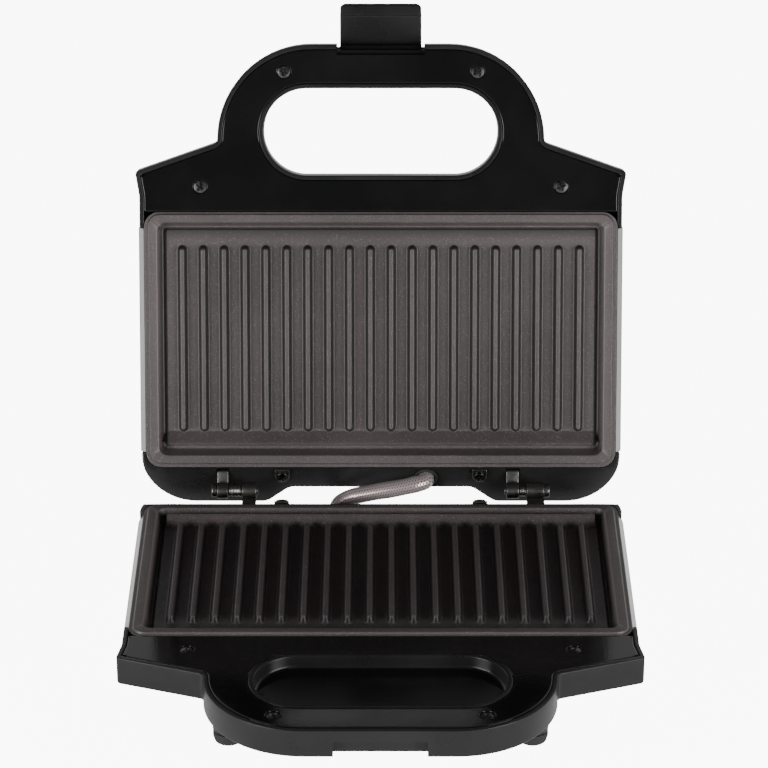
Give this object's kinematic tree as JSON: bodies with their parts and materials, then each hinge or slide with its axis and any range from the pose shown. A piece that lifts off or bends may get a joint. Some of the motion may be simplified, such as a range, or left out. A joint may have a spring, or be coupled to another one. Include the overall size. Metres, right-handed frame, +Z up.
{
  "type": "panini press",
  "caption": "Open clamshell sandwich press with ribbed non-stick plates, a handle on each half, a front latch and rear hinges.",
  "frame": {"origin": "centre of the whole open press seen from above, on the surface that it stands on", "axes": "+X to the right of someone facing the open press, -Y towards them, +Z up; the hinge axis runs along X"},
  "size_m": [0.2424, 0.3096, 0.2671],
  "materials": {
    "satin_plastic": "black moulded plastic with a satin skin",
    "gloss_plastic": "polished black moulded plastic",
    "stainless": "fine brushed stainless sheet",
    "nonstick": "speckled brown-grey non-stick coating on die-cast aluminium",
    "hinge_steel": "dark plated steel",
    "screw_steel": "black oxide cross-head screws",
    "rubber": "matt black rubber",
    "element_steel": "heat-stained steel sheath",
    "reflector_sheet": "aluminised sheet",
    "ceramic": "unglazed cream ceramic",
    "lens_red": "clear red lens",
    "lens_green": "clear green lens",
    "sleeve": "rose-silver heat-resistant sleeve over the wires"
  },
  "bodies": {
    "base": {"base_handle_housing": "satin_plastic", "base_hinge_housing": "satin_plastic", "base_handle_cover": "gloss_plastic", "base_steel_wrap": "stainless", "base_cover_screw_1": "screw_steel", "base_cover_screw_2": "screw_steel", "base_cover_screw_3": "screw_steel", "base_cover_screw_4": "screw_steel", "base_hinge_bracket_1": "hinge_steel", "base_bracket_screw_1": "screw_steel", "base_plate_clip_1": "hinge_steel", "base_clip_screw_1": "screw_steel", "base_hinge_bracket_2": "hinge_steel", "base_bracket_screw_2": "screw_steel", "base_plate_clip_2": "hinge_steel", "base_clip_screw_2": "screw_steel", "base_sleeve_grommet": "rubber", "lower_grill_plate": "nonstick", "lower_heating_element": "element_steel", "lower_reflector": "reflector_sheet", "hinge_pin_left": "hinge_steel", "hinge_spacer_left": "hinge_steel", "foot_front_left": "rubber", "foot_rear_left": "rubber", "hinge_pin_right": "hinge_steel", "hinge_spacer_right": "hinge_steel", "foot_front_right": "rubber", "foot_rear_right": "rubber", "thermostat": "ceramic", "thermal_fuse": "element_steel", "terminal_block": "ceramic", "cord_gland": "rubber", "wire_sleeve": "sleeve"},
    "lid": {"lid_handle_housing": "satin_plastic", "lid_hinge_housing": "satin_plastic", "lid_handle_cover": "gloss_plastic", "lid_steel_wrap": "stainless", "lid_cover_screw_1": "screw_steel", "lid_cover_screw_2": "screw_steel", "lid_cover_screw_3": "screw_steel", "lid_cover_screw_4": "screw_steel", "lid_hinge_bracket_1": "hinge_steel", "lid_bracket_screw_1": "screw_steel", "lid_plate_clip_1": "hinge_steel", "lid_clip_screw_1": "screw_steel", "lid_hinge_bracket_2": "hinge_steel", "lid_bracket_screw_2": "screw_steel", "lid_plate_clip_2": "hinge_steel", "lid_clip_screw_2": "screw_steel", "lid_sleeve_grommet": "rubber", "upper_grill_plate": "nonstick", "upper_heating_element": "element_steel", "upper_reflector": "reflector_sheet", "power_indicator_lens": "lens_red", "ready_indicator_lens": "lens_green", "indicator_lamp_holder": "ceramic", "latch_pin": "hinge_steel"},
    "latch": {"latch": "satin_plastic"}
  },
  "joints": [
    {"name": "lid_hinge", "type": "hinge", "parent": "base", "child": "lid", "pos_m": [0, 0.06789, 0.039], "axis": [1, 0, 0], "range_deg": [0, 108], "deforming": ["wire_sleeve"]},
    {"name": "latch_pivot", "type": "hinge", "parent": "lid", "child": "latch", "pos_m": [0, 0.14355, 0.24595], "axis": [1, 0, 0], "range_deg": [0, 90]}
  ]
}
